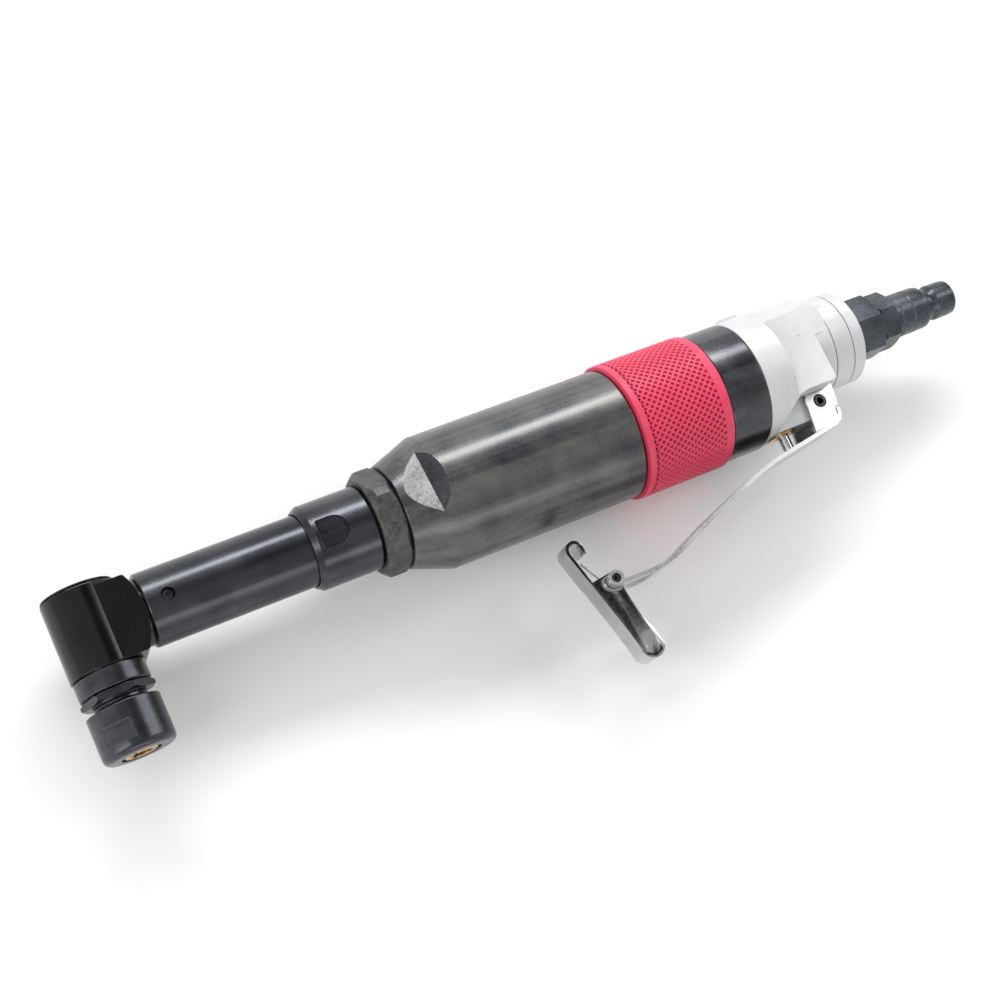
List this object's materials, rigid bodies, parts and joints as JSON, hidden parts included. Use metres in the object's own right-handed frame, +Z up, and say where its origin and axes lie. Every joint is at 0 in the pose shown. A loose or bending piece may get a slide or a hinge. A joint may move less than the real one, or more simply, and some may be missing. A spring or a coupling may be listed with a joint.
{
  "type": "right-angle pneumatic die grinder",
  "caption": "Long-neck right-angle air die grinder with a collet head, knurled grip, lever throttle and folding lock-off lever.",
  "frame": {"origin": "centre of the tool's box at its lowest point, with the tool lying on its side", "axes": "+X along the tool from the collet head to the air plug, -Y towards the collet and the throttle lever, +Z up out of the side that faces up"},
  "size_m": [0.3172, 0.0921, 0.0444],
  "materials": {
    "black_oxide_steel": "glossy black oxide",
    "blued_steel": "mottled blued finish",
    "phosphate_steel": "matte phosphate",
    "chrome_plate": "polished",
    "ground_steel": "ground",
    "cast_aluminium": "satin cast",
    "red_grip": "satin",
    "brass": "turned",
    "bronze": "turned",
    "seal_rubber": "matte",
    "silencer_felt": "pressed felt",
    "vane_resin": "laminated resin"
  },
  "bodies": {
    "body": {"motor_housing": "blued_steel", "grip_sleeve": "red_grip", "clamp_ring": "blued_steel", "valve_housing": "cast_aluminium", "rear_cap": "cast_aluminium", "silencer_felt": "silencer_felt", "inlet_bushing": "black_oxide_steel", "inlet_strainer": "brass", "air_plug": "black_oxide_steel", "front_end_plate": "blued_steel", "rear_end_plate": "blued_steel", "motor_cylinder": "ground_steel", "locating_pin": "ground_steel", "front_motor_bearing_outer_race": "ground_steel", "rear_motor_bearing_outer_race": "ground_steel", "pinion_bearing_outer_race": "ground_steel", "spindle_bearing_outer_race": "ground_steel", "neck_sleeve": "black_oxide_steel", "jam_nut": "phosphate_steel", "neck_tube": "black_oxide_steel", "neck_set_screw": "black_oxide_steel", "shaft_support_bush": "bronze", "head_housing": "black_oxide_steel", "head_cap": "black_oxide_steel", "upper_bush": "bronze", "bearing_sleeve": "ground_steel", "bearing_retainer": "black_oxide_steel", "valve_bushing": "brass", "lever_pin": "black_oxide_steel"},
    "rotor_body": {"rotor": "ground_steel", "vane_1": "vane_resin", "vane_2": "vane_resin", "vane_3": "vane_resin", "vane_4": "vane_resin", "vane_5": "vane_resin", "front_motor_bearing_inner_race": "ground_steel", "rear_motor_bearing_inner_race": "ground_steel", "pinion_bearing_inner_race": "ground_steel", "shaft_coupling": "ground_steel", "drive_shaft": "ground_steel", "pinion_gear": "ground_steel"},
    "spindle_body": {"spindle": "black_oxide_steel", "bevel_gear": "ground_steel", "spindle_bearing_inner_race": "ground_steel"},
    "nut_body": {"collet_nut": "black_oxide_steel"},
    "collet_body": {"collet": "bronze"},
    "front_cage_body": {"front_motor_bearing_ball_set": "ground_steel"},
    "rear_cage_body": {"rear_motor_bearing_ball_set": "ground_steel"},
    "pinion_cage_body": {"pinion_bearing_ball_set": "ground_steel"},
    "spindle_cage_body": {"spindle_bearing_ball_set": "ground_steel"},
    "throttle_body": {"throttle_lever": "chrome_plate", "lock_pin": "black_oxide_steel"},
    "lock_body": {"lock_lever": "chrome_plate", "lock_spring": "ground_steel"},
    "valve_body": {"valve_stem": "ground_steel", "valve_seal": "seal_rubber", "valve_spring": "ground_steel"},
    "exhaust_body": {"exhaust_ring": "cast_aluminium"}
  },
  "joints": [
    {"name": "rotor_spin", "type": "hinge", "parent": "body", "child": "rotor_body", "pos_m": [0.0064, 0.02385, 0.0222], "axis": [1, 0, 0], "continuous": true},
    {"name": "spindle_spin", "type": "hinge", "parent": "body", "child": "spindle_body", "pos_m": [-0.1476, 0.02385, 0.0222], "axis": [0, 1, 0], "continuous": true},
    {"name": "front_cage_spin", "type": "hinge", "parent": "body", "child": "front_cage_body", "pos_m": [-0.031, 0.02385, 0.0222], "axis": [1, 0, 0], "continuous": true},
    {"name": "rear_cage_spin", "type": "hinge", "parent": "body", "child": "rear_cage_body", "pos_m": [0.044, 0.02385, 0.0222], "axis": [1, 0, 0], "continuous": true},
    {"name": "pinion_cage_spin", "type": "hinge", "parent": "body", "child": "pinion_cage_body", "pos_m": [-0.1306, 0.02385, 0.0222], "axis": [1, 0, 0], "continuous": true},
    {"name": "spindle_cage_spin", "type": "hinge", "parent": "body", "child": "spindle_cage_body", "pos_m": [-0.1476, 0.00995, 0.0222], "axis": [0, 1, 0], "continuous": true},
    {"name": "collet_nut_turn", "type": "hinge", "parent": "spindle_body", "child": "nut_body", "pos_m": [-0.1476, -0.00615, 0.0222], "axis": [0, -1, 0], "range_deg": [0, 360]},
    {"name": "collet_slide", "type": "slide", "parent": "spindle_body", "child": "collet_body", "axis": [0, -1, 0], "range_m": [0, 0.00095]},
    {"name": "throttle_press", "type": "hinge", "parent": "body", "child": "throttle_body", "pos_m": [0.0914, 0.0084, 0.0222], "axis": [0, 0, -1], "range_deg": [0, 10], "stiffness_Nm_per_rad": 2, "springref_deg": -2.86},
    {"name": "lock_lever_fold", "type": "hinge", "parent": "throttle_body", "child": "lock_body", "pos_m": [0.0006, -0.01955, 0.0222], "axis": [0, 0, 1], "range_deg": [0, 60]},
    {"name": "valve_stem_slide", "type": "slide", "parent": "body", "child": "valve_body", "axis": [0, 1, 0], "range_m": [0, 0.0025]},
    {"name": "exhaust_ring_turn", "type": "hinge", "parent": "body", "child": "exhaust_body", "pos_m": [0.105, 0.0276, 0.0222], "axis": [1, 0, 0], "range_deg": [-180, 180]}
  ],
  "couplings": [
    {"joint": "spindle_spin", "follows": "rotor_spin", "ratio": 0.73333},
    {"joint": "front_cage_spin", "follows": "rotor_spin", "ratio": 0.39},
    {"joint": "rear_cage_spin", "follows": "rotor_spin", "ratio": 0.39},
    {"joint": "pinion_cage_spin", "follows": "rotor_spin", "ratio": 0.39},
    {"joint": "spindle_cage_spin", "follows": "rotor_spin", "ratio": 0.286},
    {"joint": "collet_slide", "follows": "collet_nut_turn", "m_per_rad": 0.00014},
    {"joint": "lock_lever_fold", "follows": "throttle_press", "ratio": 6},
    {"joint": "valve_stem_slide", "follows": "throttle_press", "m_per_rad": 0.01375}
  ]
}
